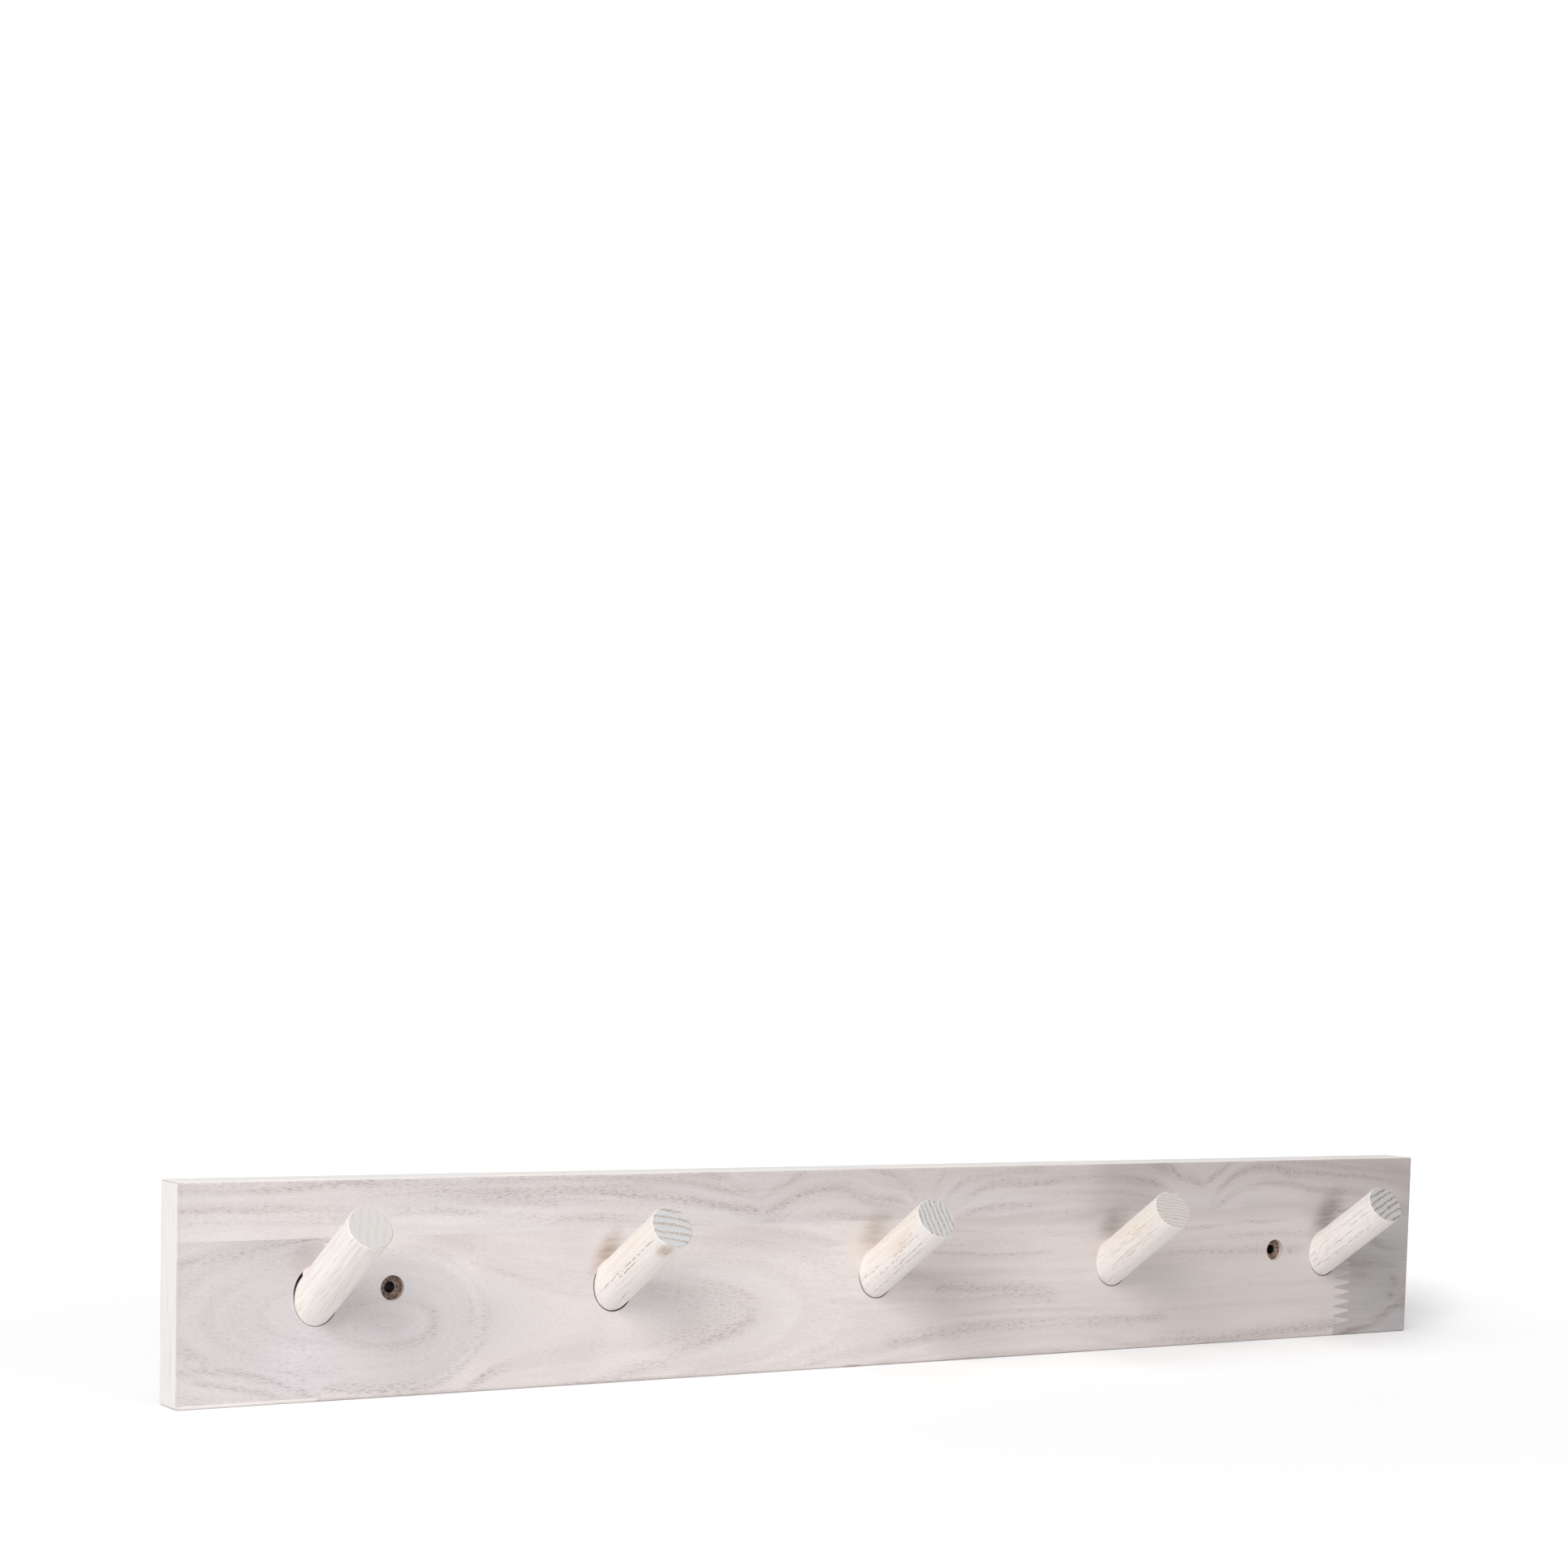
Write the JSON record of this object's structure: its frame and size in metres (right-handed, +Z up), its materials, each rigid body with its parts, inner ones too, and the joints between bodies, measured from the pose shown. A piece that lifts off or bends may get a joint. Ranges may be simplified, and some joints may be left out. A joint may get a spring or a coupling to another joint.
{
  "type": "peg rail",
  "caption": "Wall peg rail: a limed, finger-jointed wooden board with a row of upward-slanting dowel pegs for hanging clothes, and counterbored holes for wall screws.",
  "frame": {"origin": "middle of the back face that lies against the wall, at mid-height", "axes": "+X along the rail to the viewer's right, +Y into the wall, +Z up; the pegs point towards -Y and up"},
  "size_m": [0.7, 0.0742, 0.095],
  "materials": {
    "upper_stave_wood": "limed, matt",
    "left_end_block_wood": "limed, matt",
    "left_block_wood": "limed, matt",
    "right_block_wood": "limed, matt",
    "right_end_block_wood": "limed, matt",
    "pale_strip_wood": "limed, matt",
    "dark_strip_wood": "limed, matt",
    "peg_wood": "limed, matt"
  },
  "bodies": {
    "root": {"upper_stave": "upper_stave_wood", "left_end_block": "left_end_block_wood", "left_block": "left_block_wood", "right_block": "right_block_wood", "right_end_block": "right_end_block_wood", "left_end_strip": "pale_strip_wood", "left_strip": "dark_strip_wood", "right_strip": "right_block_wood", "right_end_strip": "right_end_block_wood", "peg_1": "peg_wood", "peg_2": "peg_wood", "peg_3": "peg_wood", "peg_4": "peg_wood", "peg_5": "peg_wood"}
  },
  "joints": []
}
